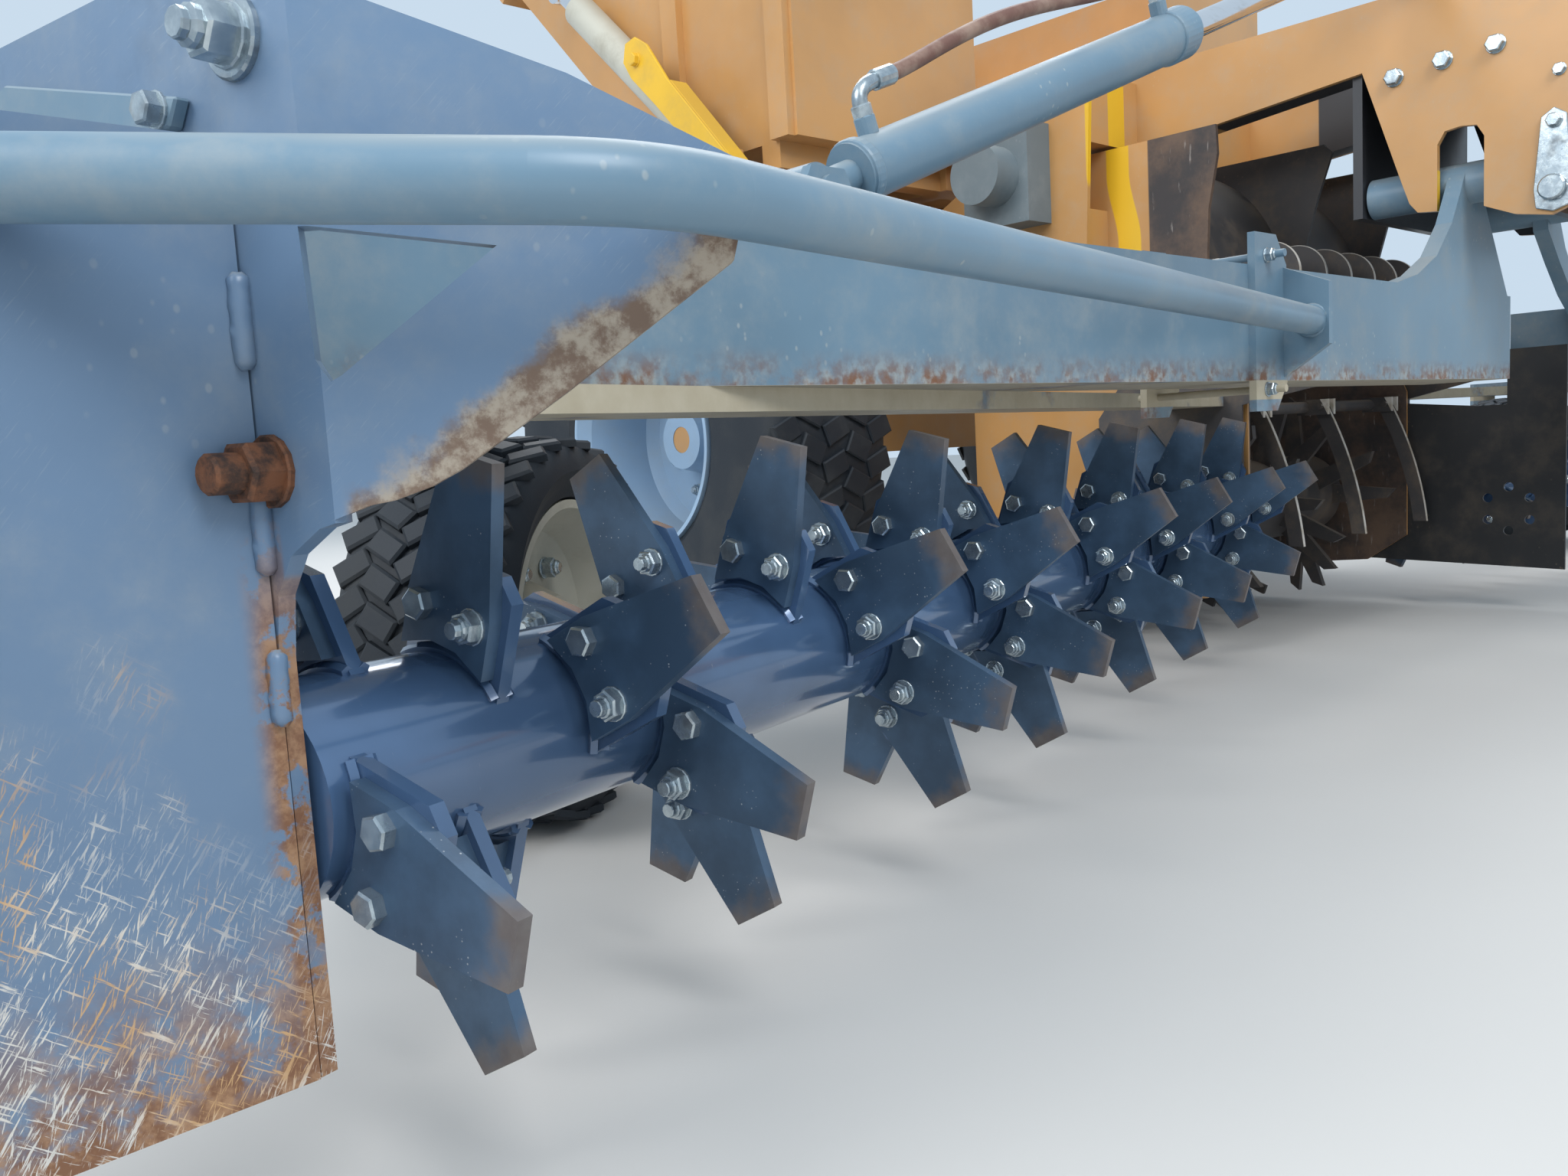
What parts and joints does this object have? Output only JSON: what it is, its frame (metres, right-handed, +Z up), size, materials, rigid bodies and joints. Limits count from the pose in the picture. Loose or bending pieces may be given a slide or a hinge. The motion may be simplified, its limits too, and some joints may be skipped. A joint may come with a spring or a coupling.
{
  "type": "trailed stone picker",
  "caption": "Trailed farm stone picker with folding side arms, skewed toothed windrowing rotors, a pickup reel with a comb grate, and a tipping hopper on wheels.",
  "frame": {"origin": "middle of the machine's length and width, on the ground", "axes": "+X to the machine's right, +Y forward to the tow eye, +Z up"},
  "size_m": [6.34, 5.032, 2.1],
  "materials": {
    "orange_paint": "satin",
    "bluegray_paint": "satin, dusty",
    "dark_tube_paint": "gloss",
    "worn_teeth": "dark, brown worn tips",
    "muddy_steel": "matt, brown dirt",
    "cream_paint": "satin",
    "zinc": "zinc plated",
    "rod_chrome": "polished",
    "tyre_rubber": "matt",
    "pale_rim": "satin",
    "motor_gray": "matt",
    "black_steel": "matt, dusty"
  },
  "bodies": {
    "chassis": {"main_frame": "orange_paint", "drawbar": "orange_paint", "drawbar_head": "orange_paint", "pickup_housing": "orange_paint", "stripper_bands": "muddy_steel", "comb_grate": "muddy_steel", "side_motor": "motor_gray", "disc_shaft": "muddy_steel", "chute_cover": "muddy_steel", "left_shield": "black_steel"},
    "arm_right": {"arm_beam_right": "bluegray_paint", "outer_bearing_plate_right": "bluegray_paint", "inner_bearing_plate_right": "muddy_steel", "guard_tube_right": "bluegray_paint", "tube_clamp_right": "bluegray_paint"},
    "rotor_right": {"rotor_right": "dark_tube_paint", "rotor_teeth_right": "worn_teeth"},
    "caster_right": {"caster_fork_right": "bluegray_paint"},
    "caster_wheel_right": {"caster_tyre_right": "tyre_rubber", "caster_rim_right": "cream_paint"},
    "fold_barrel_right": {"fold_barrel_right": "cream_paint"},
    "fold_rod_right": {"fold_rod_right": "rod_chrome"},
    "tip_barrel_right": {"tip_barrel_right": "cream_paint"},
    "tip_rod_right": {"tip_rod_right": "rod_chrome"},
    "wheel_right": {"main_tyre_right": "tyre_rubber", "main_rim_right": "pale_rim"},
    "arm_left": {"arm_beam_left": "bluegray_paint", "outer_bearing_plate_left": "bluegray_paint", "inner_bearing_plate_left": "muddy_steel", "guard_tube_left": "bluegray_paint", "tube_clamp_left": "bluegray_paint"},
    "rotor_left": {"rotor_left": "dark_tube_paint", "rotor_teeth_left": "worn_teeth"},
    "caster_left": {"caster_fork_left": "bluegray_paint"},
    "caster_wheel_left": {"caster_tyre_left": "tyre_rubber", "caster_rim_left": "cream_paint"},
    "fold_barrel_left": {"fold_barrel_left": "cream_paint"},
    "fold_rod_left": {"fold_rod_left": "rod_chrome"},
    "tip_barrel_left": {"tip_barrel_left": "cream_paint"},
    "tip_rod_left": {"tip_rod_left": "rod_chrome"},
    "wheel_left": {"main_tyre_left": "tyre_rubber", "main_rim_left": "pale_rim"},
    "reel": {"pickup_reel": "muddy_steel"},
    "hopper": {"hopper": "orange_paint"},
    "jack": {"jack_leg": "zinc"}
  },
  "joints": [
    {"name": "arm_right_fold", "type": "hinge", "parent": "chassis", "child": "arm_right", "pos_m": [0.262, -0.096, 0.985], "axis": [0, -1, 0], "range_deg": [0, 80]},
    {"name": "rotor_right_spin", "type": "hinge", "parent": "arm_right", "child": "rotor_right", "pos_m": [2.851, 0.095, 0.308], "axis": [-0.9733, -0.2294, 0], "continuous": true},
    {"name": "caster_right_swivel", "type": "hinge", "parent": "arm_right", "child": "caster_right", "pos_m": [2.3, -0.607, 0.6], "axis": [0, 0, 1], "range_deg": [0, 116]},
    {"name": "caster_right_spin", "type": "hinge", "parent": "caster_right", "child": "caster_wheel_right", "pos_m": [2.18975, -0.67589, 0.28], "axis": [-0.5299, 0.848, 0], "continuous": true},
    {"name": "fold_cylinder_right_turn", "type": "hinge", "parent": "arm_right", "child": "fold_barrel_right", "pos_m": [2.1, -0.106, 0.805], "axis": [0, -1, 0], "range_deg": [-14, 14]},
    {"name": "fold_cylinder_right_stroke", "type": "slide", "parent": "fold_barrel_right", "child": "fold_rod_right", "axis": [-0.9322, 0, 0.3619], "range_m": [-0.56, 0]},
    {"name": "tip_cylinder_right_turn", "type": "hinge", "parent": "chassis", "child": "tip_barrel_right", "pos_m": [1.17, -1.316, 1.19], "axis": [1, 0, 0], "range_deg": [-18, 18]},
    {"name": "tip_cylinder_right_stroke", "type": "slide", "parent": "tip_barrel_right", "child": "tip_rod_right", "axis": [0, -0.7372, 0.6757], "range_m": [0, 0.36]},
    {"name": "wheel_right_spin", "type": "hinge", "parent": "chassis", "child": "wheel_right", "pos_m": [1, -1.716, 0.56], "axis": [1, 0, 0], "continuous": true},
    {"name": "arm_left_fold", "type": "hinge", "parent": "chassis", "child": "arm_left", "pos_m": [-0.262, -0.096, 0.985], "axis": [0, 1, 0], "range_deg": [0, 80]},
    {"name": "rotor_left_spin", "type": "hinge", "parent": "arm_left", "child": "rotor_left", "pos_m": [-2.851, 0.095, 0.308], "axis": [0.9733, -0.2294, 0], "continuous": true},
    {"name": "caster_left_swivel", "type": "hinge", "parent": "arm_left", "child": "caster_left", "pos_m": [-2.3, -0.607, 0.6], "axis": [0, 0, -1], "range_deg": [0, 116]},
    {"name": "caster_left_spin", "type": "hinge", "parent": "caster_left", "child": "caster_wheel_left", "pos_m": [-2.18975, -0.67589, 0.28], "axis": [0.5299, 0.848, 0], "continuous": true},
    {"name": "fold_cylinder_left_turn", "type": "hinge", "parent": "arm_left", "child": "fold_barrel_left", "pos_m": [-2.1, -0.106, 0.805], "axis": [0, 1, 0], "range_deg": [-14, 14]},
    {"name": "fold_cylinder_left_stroke", "type": "slide", "parent": "fold_barrel_left", "child": "fold_rod_left", "axis": [0.9322, 0, 0.3619], "range_m": [-0.56, 0]},
    {"name": "tip_cylinder_left_turn", "type": "hinge", "parent": "chassis", "child": "tip_barrel_left", "pos_m": [-1.17, -1.316, 1.19], "axis": [1, 0, 0], "range_deg": [-18, 18]},
    {"name": "tip_cylinder_left_stroke", "type": "slide", "parent": "tip_barrel_left", "child": "tip_rod_left", "axis": [0, -0.7372, 0.6757], "range_m": [0, 0.36]},
    {"name": "wheel_left_spin", "type": "hinge", "parent": "chassis", "child": "wheel_left", "pos_m": [-1, -1.716, 0.56], "axis": [-1, 0, 0], "continuous": true},
    {"name": "reel_spin", "type": "hinge", "parent": "chassis", "child": "reel", "pos_m": [0, -0.686, 0.31], "axis": [1, 0, 0], "continuous": true},
    {"name": "hopper_tip", "type": "hinge", "parent": "chassis", "child": "hopper", "pos_m": [0, -2.066, 1.35], "axis": [1, 0, 0], "range_deg": [0, 60]},
    {"name": "jack_slide", "type": "slide", "parent": "chassis", "child": "jack", "axis": [0, 0, 1], "range_m": [0, 0.35]}
  ],
  "couplings": [
    {"joint": "fold_cylinder_right_turn", "follows": "arm_right_fold", "ratio": 0.15201},
    {"joint": "fold_cylinder_right_stroke", "follows": "arm_right_fold", "m_per_rad": -0.38023},
    {"joint": "tip_cylinder_right_turn", "follows": "hopper_tip", "ratio": 0.27182},
    {"joint": "tip_cylinder_right_stroke", "follows": "hopper_tip", "m_per_rad": 0.31354},
    {"joint": "fold_cylinder_left_turn", "follows": "arm_left_fold", "ratio": 0.15201},
    {"joint": "fold_cylinder_left_stroke", "follows": "arm_left_fold", "m_per_rad": -0.38023},
    {"joint": "tip_cylinder_left_turn", "follows": "hopper_tip", "ratio": 0.27182},
    {"joint": "tip_cylinder_left_stroke", "follows": "hopper_tip", "m_per_rad": 0.31354}
  ]
}
